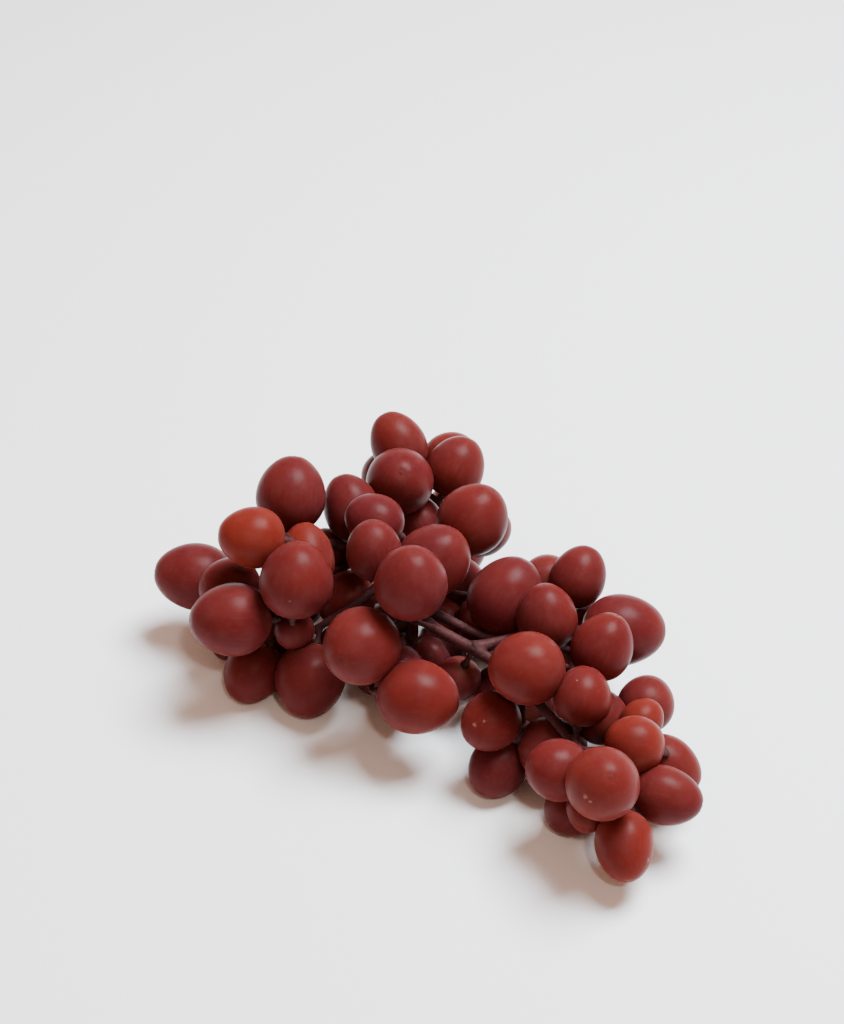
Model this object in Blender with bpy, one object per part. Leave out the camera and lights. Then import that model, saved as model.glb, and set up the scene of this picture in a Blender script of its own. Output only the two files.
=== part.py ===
"""A bunch of red grapes as picked, lying on its side on a table.

One branching stalk and twelve clusters of berries, each cluster pressed together round a side branch.
Berries are laid out by where each one shows in the reference view and by its height above the table.
They then settle against one another, and the stalk is grown out to them.
"""

import math
from typing import NamedTuple

import bmesh
import bpy
import numpy as np
from mathutils import Matrix, Vector

MM = 0.001

# The reference view, in pixels of its frame, and where it is taken from, in millimetres
FRAME_WIDTH_PX = 844
FRAME_HEIGHT_PX = 1024
FOCAL_LENGTH_PX = 1886
EYE = np.array([0.0, -395.6, 382.1])
EYE_PITCH_DEG = 39.5
BUNCH_TURN_DEG = 63.0  # turns the view's right hand so that the stalk's tip points along +X

# Berries, in millimetres
BERRY_FACETS = (9, 6)  # how many flats it has round its middle, and from pole to pole
WIDE_BERRY_FACETS = (11, 7)
WIDE_BERRY = 19.0
FACET_SWELL = 1.02  # corners stand this much outside the round skin, so that flat facets average to it
EGG = 0.1  # how much slimmer the blossom end is than the stalk end
PRESS = 1.3  # how far two berries of one cluster press into each other
PRESS_BELOW = 3.0  # and where one of them is under the bunch
CLUSTER_GAP = 0.7  # between berries of different clusters
REST_FLAT = 0.35  # how much of its height a berry loses where it rests on the table
REST_NEAR = 1.5  # a berry this close to the table sinks down to it

# Stalk, in millimetres
RACHIS_SIDES = 7
RACHIS_POINTS = 31
BRANCH_SIDES = 5
BRANCH_POINTS = 8
BRANCH_STEP = 4.0  # between the rings of a side branch
PEDICEL_SIDES = 4
PEDICEL_POINTS = 7
PEDICEL_STEP = 4.0  # between the rings of a pedicel
PEDICEL_SPANS = 3  # and the most of them
CUT_END_FLARE = 1.2
RACHIS_RADIUS = (2.4, 1.1)  # at the cut end and at the tip
BRANCH_RADIUS = (1.5, 1.0)
KNOB_RADIUS = 1.6  # the swollen end of a side branch
KNOB_TAPER = 0.6  # how thick it is at its two ends, against its middle
PEDICEL_RADIUS = 0.8
PEDICEL_LEAST = 4.0  # the shortest one
CUSHION_RADIUS = 1.45  # the swollen disc that carries the berry
CUSHION_LENGTH = 1.6
CUSHION_TAPER = (0.5, 1.0, 0.8)  # its radius where the pedicel ends, at its rim and at the berry
CUSHION_RIM = 0.25  # the rim's place, as a share of the length back from the berry
PEDICEL_SINK = 0.7  # a pedicel stops this share of the cushion's length short of the berry
CUSHION_GAP = 0.6  # between the cushion and the berry's skin
STALK_GAP = 0.5  # between the stalk and any berry that it passes
DENT_GAP = 0.3  # what is left of it where a berry has grown dented round the stalk
FOLD_TURN = 1.4  # in radians, the sharpest turn that a stem's bend is reckoned with
FOLD_LIMIT = 0.7  # the share of a span that the inside of a bend may take up

SCRAP_AREA = 40.0  # in square millimetres, far less than the skin of the smallest berry
TABLE_SIDE = 600.0
TABLE_DEPTH = 30.0

# The stalk's own line, from its cut end to its tip, in the view's axes: right, away, up
RACHIS = [
    (-21, 57, 16),
    (-19, 48, 19),
    (-14, 30, 24),
    (-8, 12, 28),
    (0, -13, 29),
    (17, -25.5, 26.5),
    (28, -38, 25.5),
    (38, -52, 23),
    (46, -63, 20),
]

# A side branch leaves the rachis beside its cluster, save one that leaves it at an earlier point
BRANCH_LEAVES = {"berries_right_side": 14}

STALK_COLOUR = (0.16, 0.035, 0.045, 1.0)
STALK_ROUGHNESS = 0.6
SKIN_COLOUR = (0.22, 0.026, 0.022, 1.0)
SKIN_ROUGHNESS = 0.45


class Berry(NamedTuple):
    """A berry: where its centre shows, and its centre's height above the table and its size in millimetres.

    Its tip is the way that its blossom end points in the view: right, up and towards the eye.
    Where none is given, it points away from the side branch that carries the berry.
    A hidden berry lies under or behind the ones that show, and gives way to them as they settle.
    """

    seen_x: float
    seen_y: float
    height: float
    width: float
    length: float
    tip: tuple = None
    hidden: bool = False


CLUSTERS = {
    "berries_left_top": [
        Berry(291, 492, 42, 19.6, 21.8, (0.1, 1.0, 0.0)),
        Berry(251, 537, 45, 17.0, 18.6, (-1.0, 0.1, 0.2)),
        Berry(307, 559, 34, 15.6, 20.0, (-0.1, 1.0, 0.0)),
        Berry(295, 581, 42, 20.0, 21.4, (0.1, 0.9, 0.3)),
        Berry(265, 560, 22, 16.0, 18.0, hidden=True),
        Berry(338, 560, 20, 15.0, 17.0, hidden=True),
    ],
    "berries_left_side": [
        Berry(196, 577, 23, 19.6, 23.6, (-1.0, 0.15, 0.1)),
        Berry(229, 588, 30, 17.2, 18.0),
        Berry(232, 618, 32, 20.2, 22.8, (-0.95, 0.0, 0.3)),
        Berry(252, 632, 8, 14.6, 16.0, hidden=True),
        Berry(228, 592, 9, 16.0, 18.0, hidden=True),
    ],
    "berries_left_low": [
        Berry(295, 629, 27, 11.2, 12.0),
        Berry(253, 673, 12, 16.4, 18.0, (-0.5, -0.8, 0.1)),
        Berry(309, 681, 10, 19.8, 21.2),
        Berry(285, 600, 12, 16.0, 18.0, hidden=True),
        Berry(268, 636, 9, 15.0, 17.0, hidden=True),
    ],
    "berries_crown_back": [
        Berry(398, 444, 42, 16.4, 20.4, (-0.45, 1.0, 0.1)),
        Berry(400, 481, 42, 19.6, 20.4),
        Berry(456, 467, 43, 17.0, 19.0, (0.4, 0.85, 0.1)),
        Berry(451, 457, 32, 15.5, 17.0),
        Berry(352, 508, 38, 16.4, 20.5, (-0.35, 0.9, 0.1)),
        Berry(385, 475, 28, 14.6, 16.0),
        Berry(420, 524, 26, 15.0, 16.5),
    ],
    "berries_crown_low": [
        Berry(400, 508, 10, 17.0, 19.0, (-0.6, -0.2, -0.8), hidden=True),
        Berry(444, 503, 9, 17.0, 19.0, hidden=True),
        Berry(456, 548, 9, 17.0, 19.0, hidden=True),
        Berry(410, 556, 9, 16.0, 18.0, hidden=True),
        Berry(447, 594, 9, 17.0, 18.0, hidden=True),
        Berry(482, 628, 13, 16.0, 17.0, (0.0, -0.8, -0.6), hidden=True),
        Berry(438, 622, 8, 12.0, 13.0, hidden=True),
    ],
    "berries_crown_front": [
        Berry(474, 518, 41, 19.6, 21.0, (0.5, 0.7, 0.4)),
        Berry(484, 530, 27, 15.0, 17.0),
        Berry(374, 521, 48, 15.6, 17.0),
        Berry(370, 549, 49, 15.4, 17.0, (-0.1, 0.9, 0.4)),
        Berry(438, 560, 45, 19.6, 20.8, (0.5, 0.5, 0.4)),
        Berry(411, 582, 52, 19.6, 20.6, (0.1, 0.8, 0.6)),
    ],
    "berries_middle": [
        Berry(357, 644, 38, 21.0, 21.6),
        Berry(422, 700, 24, 20.0, 22.4, (0.95, -0.1, 0.3)),
        Berry(396, 682, 18, 16.0, 20.0, (-0.1, -1.0, 0.1)),
        Berry(459, 680, 16, 12.4, 13.2),
        Berry(432, 654, 17, 10.0, 11.4),
        Berry(346, 600, 22, 15.6, 17.6),
        Berry(380, 660, 14, 15.6, 17.0, hidden=True),
        Berry(412, 592, 9, 16.0, 18.0, hidden=True),
        Berry(390, 634, 9, 17.0, 18.5, hidden=True),
        Berry(336, 644, 9, 14.0, 15.5, hidden=True),
        Berry(466, 660, 8, 15.5, 17.0, hidden=True),
    ],
    "berries_right_top": [
        Berry(505, 596, 36, 20.4, 23.4, (0.5, 0.85, 0.1)),
        Berry(548, 580, 25, 15.2, 16.6),
        Berry(579, 578, 34, 15.4, 18.0, (0.4, 0.9, 0.1)),
        Berry(547, 617, 39, 16.6, 18.8, (-0.1, 0.95, 0.3)),
    ],
    "berries_right_side": [
        Berry(624, 628, 28, 19.6, 23.2, (1.0, 0.0, 0.0)),
        Berry(603, 645, 36, 16.4, 18.8, (0.4, 0.9, 0.2)),
        Berry(523, 667, 39, 19.4, 20.4, (-0.9, 0.0, 0.4)),
        Berry(585, 700, 36, 15.4, 16.0),
        Berry(545, 612, 9, 16.0, 18.0, hidden=True),
        Berry(590, 650, 10, 16.5, 18.5, hidden=True),
        Berry(545, 670, 9, 16.0, 17.0, hidden=True),
    ],
    "berries_tip_right": [
        Berry(646, 703, 15, 15.4, 16.2),
        Berry(641, 717, 22, 11.2, 12.2),
        Berry(632, 741, 30, 15.0, 15.8, (-0.9, 0.3, 0.3)),
        Berry(668, 770, 12, 15.6, 19.0, (0.8, -0.5, 0.1)),
        Berry(668, 800, 14, 15.2, 18.8, (0.95, -0.25, 0.2)),
        Berry(611, 711, 14, 14.5, 16.0, hidden=True),
        Berry(628, 752, 8, 13.0, 14.0, hidden=True),
    ],
    "berries_tip_front": [
        Berry(603, 783, 34, 18.6, 19.4, (0.1, 0.3, 1.0)),
        Berry(627, 847, 9, 15.2, 18.6, (0.0, -0.9, 0.45)),
        Berry(572, 808, 8, 14.8, 15.8),
        Berry(590, 811, 17, 11.4, 12.4),
        Berry(554, 766, 27, 16.0, 17.0),
        Berry(618, 790, 9, 13.4, 14.6, hidden=True),
    ],
    "berries_tip_left": [
        Berry(490, 722, 25, 15.6, 17.0),
        Berry(504, 766, 9, 15.6, 16.6),
        Berry(546, 750, 18, 16.8, 17.8),
        Berry(578, 740, 9, 12.6, 13.5, hidden=True),
        Berry(515, 704, 8, 14.5, 16.0, hidden=True),
        Berry(494, 690, 8, 14.0, 15.5, hidden=True),
    ],
}


def unit(vectors):
    """Each vector at length 1."""
    return vectors / np.linalg.norm(vectors, axis=-1, keepdims=True)


def view_axes():
    """The reference view's right, up and forward."""
    pitch = math.radians(EYE_PITCH_DEG)
    right = np.array([1.0, 0.0, 0.0])
    up = np.array([0.0, math.sin(pitch), math.cos(pitch)])
    forward = np.array([0.0, math.cos(pitch), -math.sin(pitch)])
    return right, up, forward


def seen_at(x, y, height):
    """The point at a height above the table that shows at a pixel of the reference view."""
    right, up, forward = view_axes()
    across = (x - FRAME_WIDTH_PX / 2) / FOCAL_LENGTH_PX
    down = (y - FRAME_HEIGHT_PX / 2) / FOCAL_LENGTH_PX
    ray = forward + right * across - up * down
    return EYE + ray * (height - EYE[2]) / ray[2]


def tip_way(tip):
    """The direction of a tip that is given as right, up and towards the eye."""
    right, up, forward = view_axes()
    return unit(right * tip[0] + up * tip[1] - forward * tip[2])


def smooth_line(knots, count):
    """Points at even steps of a smooth curve through the knots."""
    knots = np.array(knots, float)
    before = 2 * knots[0] - knots[1]
    after = 2 * knots[-1] - knots[-2]
    ends = np.vstack([before, knots, after])
    line = []
    for step in np.linspace(0, len(knots) - 1, count):
        k = min(int(step), len(knots) - 2)
        f = step - k
        a, b, c, d = ends[k : k + 4]
        bend = (2 * a - 5 * b + 4 * c - d) * f**2 + (3 * b - a - 3 * c + d) * f**3
        line.append((2 * b + (c - a) * f + bend) / 2)
    return np.array(line)


class Bunch:
    """The berries and the lines of the stalk, which settle against one another."""

    SWEEPS = 420
    LAST_SWEEPS = 120  # after these, only the stalk still moves
    CLOSING_SWEEPS = 120  # the last of them, in which the stalk no longer moves the berries
    REROOT_SWEEPS = (100, 200, 280)  # at these, each berry is carried by what is nearest by then
    EASE = 0.35  # share of each correction that one sweep makes
    SIDEWAYS = 0.1  # how freely a berry that shows moves across the view, against along it
    HOLD = 0.25  # how freely it moves at all, against a hidden one
    HOMING = (0.15, 0.005)  # shares of its way back in each sweep: across the view, and along it
    OFF_BRANCH = 3.0  # how much nearer than its side branch the rachis must be to carry a berry
    STIFFNESS = 0.3  # how strongly the stalk's lines straighten
    FOLLOW = 0.05  # how quickly a side branch's end follows the middle of its cluster
    EGG_MEAN = 0.3  # the egg shape's own swelling near a berry's waist, as a share of EGG
    STALK_YIELD = 0.5  # share of a clash between the stalk and a berry that each of them makes up

    def __init__(self):
        self.names = list(CLUSTERS)
        rows = [(name, berry) for name in self.names for berry in CLUSTERS[name]]
        self.cluster = np.array([self.names.index(name) for name, _ in rows])
        self.berries = [berry for _, berry in rows]
        self.everyone = np.arange(len(rows))
        self.centre = np.array([seen_at(b.seen_x, b.seen_y, b.height) for b in self.berries])
        self.short = np.array([b.width / 2 for b in self.berries])
        self.long = np.array([b.length / 2 for b in self.berries])
        self.hidden = np.array([b.hidden for b in self.berries])
        self.along = np.where(self.hidden, 1.0, self.HOLD)
        self.across = np.where(self.hidden, 1.0, self.HOLD * self.SIDEWAYS)
        self.home = self.centre.copy()
        self.rachis = smooth_line(RACHIS, RACHIS_POINTS)
        self.root = np.zeros(len(rows), int)
        self.start_branches()
        self.find_roots()
        self.turn_outward()
        self.start_pedicels()

    def members(self, cluster):
        return np.flatnonzero(self.cluster == cluster)

    def start_branches(self):
        """A straight side branch for each cluster, from the rachis to the middle of its berries."""
        self.branches = np.zeros((len(self.names), BRANCH_POINTS, 3))
        steps = np.linspace(0, 1, BRANCH_POINTS)[:, None]
        for cluster in range(len(self.names)):
            middle = self.centre[self.members(cluster)].mean(axis=0)
            nearest = int(np.argmin(np.linalg.norm(self.rachis - middle, axis=1)))
            beside = int(np.clip(nearest - 1, 1, RACHIS_POINTS - 2))
            leaves = BRANCH_LEAVES.get(self.names[cluster], beside)
            start = self.rachis[leaves]
            self.branches[cluster] = start + (middle - start) * steps

    def find_roots(self):
        """The point of its side branch, or of the rachis, that carries each berry: the nearest one."""
        points = self.stalk_points()
        carrier = np.full(len(points), -1)
        carrier[RACHIS_POINTS:] = np.repeat(np.arange(len(self.names)), BRANCH_POINTS)
        usable = np.ones(len(points), bool)
        usable[: RACHIS_POINTS // 5] = False
        usable[RACHIS_POINTS::BRANCH_POINTS] = False
        usable[RACHIS_POINTS + 1 :: BRANCH_POINTS] = False
        for i, berry in enumerate(self.berries):
            target = self.centre[i]
            least = PEDICEL_LEAST + self.long[i]
            if berry.tip:
                target = target - tip_way(berry.tip) * self.long[i]
                least = PEDICEL_LEAST
            away = np.linalg.norm(points - target, axis=1)
            allowed = usable & ((carrier == -1) | (carrier == self.cluster[i]))
            away = np.where(allowed, away, np.inf) + np.where(away < least, 2 * (least - away), 0)
            self.root[i] = (away + np.where(carrier == -1, self.OFF_BRANCH, 0)).argmin()

    def stalk_points(self):
        """The points of the rachis and then those of every side branch."""
        return np.vstack([self.rachis, self.branches.reshape(-1, 3)])

    def start_pedicels(self):
        """A straight pedicel from its side branch to each berry."""
        steps = np.linspace(0, 1, PEDICEL_POINTS)[None, :, None]
        start = self.stalk_points()[self.root][:, None]
        end = self.stalk_ends()[:, None]
        self.pedicels = start + (end - start) * steps

    def turn_outward(self):
        """Each berry's blossom end points its own way, or away from the branch that carries it."""
        self.axis = unit(self.centre - self.stalk_points()[self.root])
        for i, berry in enumerate(self.berries):
            if berry.tip:
                self.axis[i] = tip_way(berry.tip)

    def stalk_ends(self):
        """Where each pedicel's cushion stops, just short of its berry."""
        return self.centre - self.axis * (self.long + CUSHION_GAP)[:, None]

    def reach(self, i, direction):
        """How far berries i reach from their centres along a direction, as a plane would meet them."""
        lean = (self.axis[i] * direction).sum(axis=-1)
        short, long = self.short[i], self.long[i]
        egg = EGG * short * lean * (1 - lean**2)
        return np.sqrt(short**2 + (long**2 - short**2) * lean**2) - egg

    def skin_at(self, i, direction):
        """How far the skin of berries i is from their centres along a ray."""
        lean = (self.axis[i] * direction).sum(axis=-1)
        across = (1 - lean**2) / self.short[i] ** 2
        return (1 + EGG * self.EGG_MEAN) / np.sqrt(across + lean**2 / self.long[i] ** 2)

    def give(self, i, push):
        """How a push moves berries i: those that show move mostly along the line of sight."""
        sight = unit(EYE - self.centre[i])
        along = sight * (sight * push).sum(axis=-1, keepdims=True)
        return along * self.along[i][..., None] + (push - along) * self.across[i][..., None]

    def ties(self, first, second, gap):
        """The shortest gaps that make one body of each cluster."""
        holds = np.zeros(len(first), bool)
        body = self.everyone.copy()
        for k in np.argsort(gap):
            i, j = first[k], second[k]
            if self.cluster[i] == self.cluster[j] and body[i] != body[j]:
                body[body == body[j]] = body[i]
                holds[k] = True
        return holds

    def press_berries(self, pairs):
        """Berries of one cluster press together, and those of two clusters keep apart."""
        first, second = pairs
        run = self.centre[second] - self.centre[first]
        apart = np.linalg.norm(run, axis=1)
        way = run / apart[:, None]
        together = self.cluster[first] == self.cluster[second]
        press = np.where(self.hidden[first] | self.hidden[second], PRESS_BELOW, PRESS)
        spare = np.where(together, -press, CLUSTER_GAP)
        need = self.reach(first, way) + self.reach(second, -way) + spare - apart
        tied = self.ties(first, second, -need)
        need = np.where((need > 0) | tied, need + np.where(tied, press - PRESS, 0), 0)
        there = self.give(second, way)
        back = self.give(first, way)
        step = need / ((there + back) * way).sum(axis=1) * self.EASE
        np.add.at(self.centre, second, step[:, None] * there)
        np.add.at(self.centre, first, -step[:, None] * back)

    def part_from_stalk(self, points, radii, skip, berries_move):
        """How far each of the stalk's points moves clear of the berries, while they move clear of it.

        The skip array gives the berry that each point may come near, or -1.
        """
        run = self.centre[None] - points[:, None]
        apart = np.linalg.norm(run, axis=2)
        way = run / apart[..., None]
        near = self.skin_at(self.everyone[None], -way) + radii[:, None] + STALK_GAP
        need = np.maximum(near - apart, 0)
        need[skip[:, None] == self.everyone[None]] = 0
        if berries_move:
            worst = need.argmax(axis=0)
            push = need[worst, self.everyone, None] * way[worst, self.everyone]
            self.centre += self.give(self.everyone, push) * self.STALK_YIELD / 2
        return -(need[..., None] * way).sum(axis=1) * self.STALK_YIELD

    def bend_stalk(self, berries_move):
        """The rachis stays, and the side branches and pedicels find their way between the berries."""
        none = np.full(RACHIS_POINTS, -1)
        self.part_from_stalk(self.rachis, rachis_radii(), none, berries_move=True)

        lines = self.branches
        radii = np.tile(branch_radii(), len(lines))
        none = np.full(len(radii), -1)
        push = self.part_from_stalk(lines.reshape(-1, 3), radii, none, berries_move)
        push = push.reshape(lines.shape)
        push[:, 1:-1] += self.STIFFNESS * straighten(lines)
        push[:, 0] = 0
        for cluster in range(len(self.names)):
            middle = self.centre[self.members(cluster)].mean(axis=0)
            push[cluster, -1] += (middle - lines[cluster, -1]) * self.FOLLOW
        lines += push

        lines = self.pedicels
        lines[:, 0] = self.stalk_points()[self.root]
        lines[:, -1] = self.stalk_ends()
        lines[:, -2] = lines[:, -1] - self.axis * CUSHION_LENGTH
        radii = np.full(lines.shape[:2], PEDICEL_RADIUS)
        radii[:, -1] = CUSHION_RADIUS
        skip = np.full(lines.shape[:2], -1)
        skip[:, -2:] = self.everyone[:, None]
        push = self.part_from_stalk(lines.reshape(-1, 3), radii.ravel(), skip.ravel(), berries_move)
        push = push.reshape(lines.shape)
        push[:, 1:-1] += self.STIFFNESS * straighten(lines)
        push[:, [0, -2, -1]] = 0
        lines += push

    def rest_on_table(self):
        """No berry is below the table, and one that comes near it rests there with a small flat."""
        down = np.array([0.0, 0.0, -1.0])
        low = self.centre[:, 2] - self.reach(self.everyone, down)
        rise = np.where(low < REST_NEAR, -REST_FLAT - low, 0)
        sight = unit(EYE - self.centre)
        self.centre += sight * (rise / sight[:, 2])[:, None]

    def go_home(self):
        """Each berry drifts back to its own place, above all to the line where it shows."""
        sight = unit(self.home - EYE)
        out = self.centre - self.home
        along = sight * (sight * out).sum(axis=1)[:, None]
        self.centre -= self.HOMING[0] * (out - along) + self.HOMING[1] * along

    def settle(self):
        pairs = np.triu_indices(len(self.berries), 1)
        for sweep in range(self.SWEEPS):
            closing = sweep >= self.SWEEPS - self.CLOSING_SWEEPS
            if sweep in self.REROOT_SWEEPS:
                self.find_roots()
                self.start_pedicels()
            if not closing:
                self.go_home()
            self.turn_outward()
            self.press_berries(pairs)
            self.bend_stalk(berries_move=not closing)
            self.rest_on_table()
        self.turn_outward()
        settled = self.centre.copy()
        for _ in range(self.LAST_SWEEPS):
            self.bend_stalk(berries_move=False)
            self.centre = settled.copy()


def straighten(lines):
    """How far each inner point of the lines is from the middle of its two neighbours."""
    return (lines[:, :-2] + lines[:, 2:]) / 2 - lines[:, 1:-1]


def rachis_radii():
    return np.linspace(*RACHIS_RADIUS, RACHIS_POINTS)


def branch_radii():
    return np.linspace(*BRANCH_RADIUS, BRANCH_POINTS)


def turned(points):
    """The same points, in metres, in the part's own axes: +X towards the stalk's tip, +Z up."""
    turn = math.radians(BUNCH_TURN_DEG)
    across = np.array([math.cos(turn), -math.sin(turn), 0.0])
    away = np.array([math.sin(turn), math.cos(turn), 0.0])
    up = np.array([0.0, 0.0, 1.0])
    return points @ np.array([across, away, up]).T * MM


def new_object(name, points, faces):
    mesh = bpy.data.meshes.new(name)
    mesh.from_pydata([tuple(p) for p in points], [], faces)
    for polygon in mesh.polygons:
        polygon.use_smooth = True
    made = bpy.data.objects.new(name, mesh)
    bpy.context.scene.collection.objects.link(made)
    return made


def sleeve(rings):
    """Faces that close rings of points, given from one end to the other, into one body."""
    sides = len(rings[0])
    faces = [tuple(range(sides))[::-1]]
    for k in range(len(rings) - 1):
        low = k * sides
        for j in range(sides):
            turn = (j + 1) % sides
            faces.append((low + j, low + turn, low + sides + turn, low + sides + j))
    top = (len(rings) - 1) * sides
    faces.append(tuple(range(top, top + sides)))
    return faces


def tube(name, line, radii, sides):
    """A round stem along a line, with its own radius at each point."""
    along = np.gradient(line, axis=0)
    side = np.cross(unit(along[0]), (0.3, 0.5, 0.8))
    rings = []
    for point, way, radius in zip(line, unit(along), radii):
        side = unit(side - way * (side @ way))
        other = np.cross(way, side)
        angles = np.arange(sides) * 2 * math.pi / sides
        rings.append([point + radius * (math.cos(a) * side + math.sin(a) * other) for a in angles])
    return new_object(name, turned(np.vstack(rings)), sleeve(rings))


def berry_body(name, centre, axis, short, long):
    """A berry: egg-shaped, its poles at the stalk end and the blossom end."""
    sides, rings = WIDE_BERRY_FACETS if 2 * short > WIDE_BERRY else BERRY_FACETS
    side = unit(np.cross(axis, (0.31, 0.52, 0.79)))
    other = np.cross(axis, side)
    swell = FACET_SWELL
    points = [centre - axis * long * swell]
    for ring in range(1, rings):
        polar = math.pi * ring / rings
        lean = -math.cos(polar)
        out = short * swell * math.sin(polar) * (1 - EGG * lean)
        for j in range(sides):
            angle = 2 * math.pi * (j + ring % 2 / 2) / sides
            sideways = math.cos(angle) * side + math.sin(angle) * other
            points.append(centre + axis * long * swell * lean + sideways * out)
    points.append(centre + axis * long * swell)
    faces = []
    last = len(points) - 1
    for j in range(sides):
        turn = (j + 1) % sides
        faces.append((0, 1 + turn, 1 + j))
        faces.append((last, last - sides + j, last - sides + turn))
    for ring in range(rings - 2):
        low = 1 + ring * sides
        high = low + sides
        for j in range(sides):
            turn = (j + 1) % sides
            if ring % 2:
                faces.append((low + j, low + turn, high + turn))
                faces.append((low + j, high + turn, high + j))
            else:
                faces.append((low + j, low + turn, high + j))
                faces.append((low + turn, high + turn, high + j))
    return new_object(name, turned(np.array(points)), faces)


def apply_boolean(body, others, operation):
    """Joins the other objects to the body, or cuts them from it."""
    helpers = bpy.data.collections.new(body.name + "_helpers")
    for other in others:
        helpers.objects.link(other)
    joined = body.modifiers.new(operation.title(), "BOOLEAN")
    joined.operation = operation
    joined.solver = "MANIFOLD"
    joined.operand_type = "COLLECTION"
    joined.collection = helpers
    graph = bpy.context.evaluated_depsgraph_get()
    mesh = bpy.data.meshes.new_from_object(body.evaluated_get(graph))
    body.modifiers.clear()
    old = body.data
    body.data = mesh
    bpy.data.meshes.remove(old)
    bpy.data.collections.remove(helpers)


def keep_outer_body(body):
    """Fills the hollows that are closed off inside, and drops loose scraps, but never a loose berry."""
    shape = bmesh.new()
    shape.from_mesh(body.data)
    shells = []
    waiting = set(shape.faces)
    while waiting:
        shell = [waiting.pop()]
        for face in shell:
            for edge in face.edges:
                for neighbour in edge.link_faces:
                    if neighbour in waiting:
                        waiting.remove(neighbour)
                        shell.append(neighbour)
        shells.append(shell)
    shells.sort(key=lambda shell: sum(face.calc_area() for face in shell))
    scraps = [face for shell in shells[:-1] for face in shell]
    if sum(face.calc_area() for face in scraps) > SCRAP_AREA * MM**2:
        raise ValueError(f"a part of {body.name} has come loose")
    bmesh.ops.delete(shape, geom=scraps, context="FACES")
    shape.to_mesh(body.data)
    shape.free()


def wear(body, colour, roughness):
    """Gives the body a material of its own."""
    material = bpy.data.materials.new(body.name)
    material.use_nodes = True
    shader = material.node_tree.nodes["Principled BSDF"]
    shader.inputs["Base Color"].default_value = colour
    shader.inputs["Roughness"].default_value = roughness
    shader.inputs["Metallic"].default_value = 0.0
    body.data.materials.clear()
    body.data.materials.append(material)


def evenly(line, spacing, most):
    """The line at even steps of at least the spacing, and at most so many of them."""
    lengths = np.concatenate([[0], np.cumsum(np.linalg.norm(np.diff(line, axis=0), axis=1))])
    count = int(np.clip(lengths[-1] / spacing, 1, most)) + 1
    steps = np.linspace(0, lengths[-1], count)
    return np.array([[np.interp(step, lengths, line[:, k]) for k in range(3)] for step in steps])


def without_folds(line, radius):
    """The line without the inner points at which a tube of the radius would fold into itself."""
    while len(line) > 2:
        spans = np.linalg.norm(np.diff(line, axis=0), axis=1)
        ways = unit(np.gradient(line, axis=0))
        turns = np.arccos(np.clip((ways[:-1] * ways[1:]).sum(axis=1), -1, 1))
        tight = radius * np.tan(np.minimum(turns, FOLD_TURN)) / spans
        worst = int(tight.argmax())
        if tight[worst] < FOLD_LIMIT:
            break
        line = np.delete(line, min(max(worst, 1), len(line) - 2), axis=0)
    return line


def stalk_tubes(bunch, spare):
    """The rachis first, then every side branch, pedicel and cushion, each thicker by the spare.

    The rachis has a ring at every other point of its line.
    """
    radii = rachis_radii() + spare
    radii[0] *= CUT_END_FLARE
    tubes = [tube("stem", bunch.rachis[::2], radii[::2], RACHIS_SIDES)]
    for line in bunch.branches:
        line = without_folds(evenly(line, BRANCH_STEP, BRANCH_POINTS), BRANCH_RADIUS[0])
        radii = np.linspace(*BRANCH_RADIUS, len(line)) + spare
        tubes.append(tube("branch", line, radii, BRANCH_SIDES))
        way = unit(line[-1] - line[-2])
        knob = np.array([line[-1] - way * KNOB_RADIUS, line[-1], line[-1] + way * KNOB_RADIUS])
        radii = np.array([KNOB_TAPER, 1.0, KNOB_TAPER]) * KNOB_RADIUS + spare
        tubes.append(tube("knob", knob, radii, BRANCH_SIDES + 1))
    for line, axis in zip(bunch.pedicels, bunch.axis):
        end = line[-1]
        line = np.vstack([line[:-1], end - axis * CUSHION_LENGTH * PEDICEL_SINK])
        line = without_folds(evenly(line, PEDICEL_STEP, PEDICEL_SPANS), PEDICEL_RADIUS + spare)
        tubes.append(tube("pedicel", line, np.full(len(line), PEDICEL_RADIUS + spare), PEDICEL_SIDES))
        cushion = np.array([end - axis * CUSHION_LENGTH, end - axis * CUSHION_LENGTH * CUSHION_RIM, end])
        radii = np.array(CUSHION_TAPER) * CUSHION_RADIUS + spare
        tubes.append(tube("cushion", cushion, radii, PEDICEL_SIDES))
    return tubes


def build_stalk(bunch, spare):
    """The whole stalk as one body."""
    stem, *others = stalk_tubes(bunch, spare)
    apply_boolean(stem, others, "UNION")
    for other in others:
        bpy.data.objects.remove(other)
    keep_outer_body(stem)
    return stem


def table_block():
    """The room under the table's face, which the resting berries don't enter."""
    half = TABLE_SIDE / 2
    corners = [
        (x * half, y * half, z)
        for z in (-TABLE_DEPTH, 0.0)
        for x, y in ((-1, -1), (1, -1), (1, 1), (-1, 1))
    ]
    faces = [(3, 2, 1, 0), (4, 5, 6, 7), (0, 1, 5, 4), (1, 2, 6, 5), (2, 3, 7, 6), (3, 0, 4, 7)]
    return new_object("table", np.array(corners) * MM, faces)


def build_cluster(bunch, cluster, cutters):
    """The berries of one cluster as one body, with room for the stalk and flat where they rest."""
    name = bunch.names[cluster]
    body, *others = [
        berry_body(name, bunch.centre[i], bunch.axis[i], bunch.short[i], bunch.long[i])
        for i in bunch.members(cluster)
    ]
    apply_boolean(body, others, "UNION")
    for other in others:
        bpy.data.objects.remove(other)
    apply_boolean(body, cutters, "DIFFERENCE")
    keep_outer_body(body)
    body.name = name
    return body


def centre_on_origin(objects):
    """Moves the whole bunch: the middle of its box over the origin, and its lowest face on Z = 0."""
    corners = np.array([v.co for made in objects for v in made.data.vertices])
    low, high = corners.min(axis=0), corners.max(axis=0)
    shift = Matrix.Translation(Vector((-(low[0] + high[0]) / 2, -(low[1] + high[1]) / 2, -low[2])))
    for made in objects:
        made.data.transform(shift)


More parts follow.
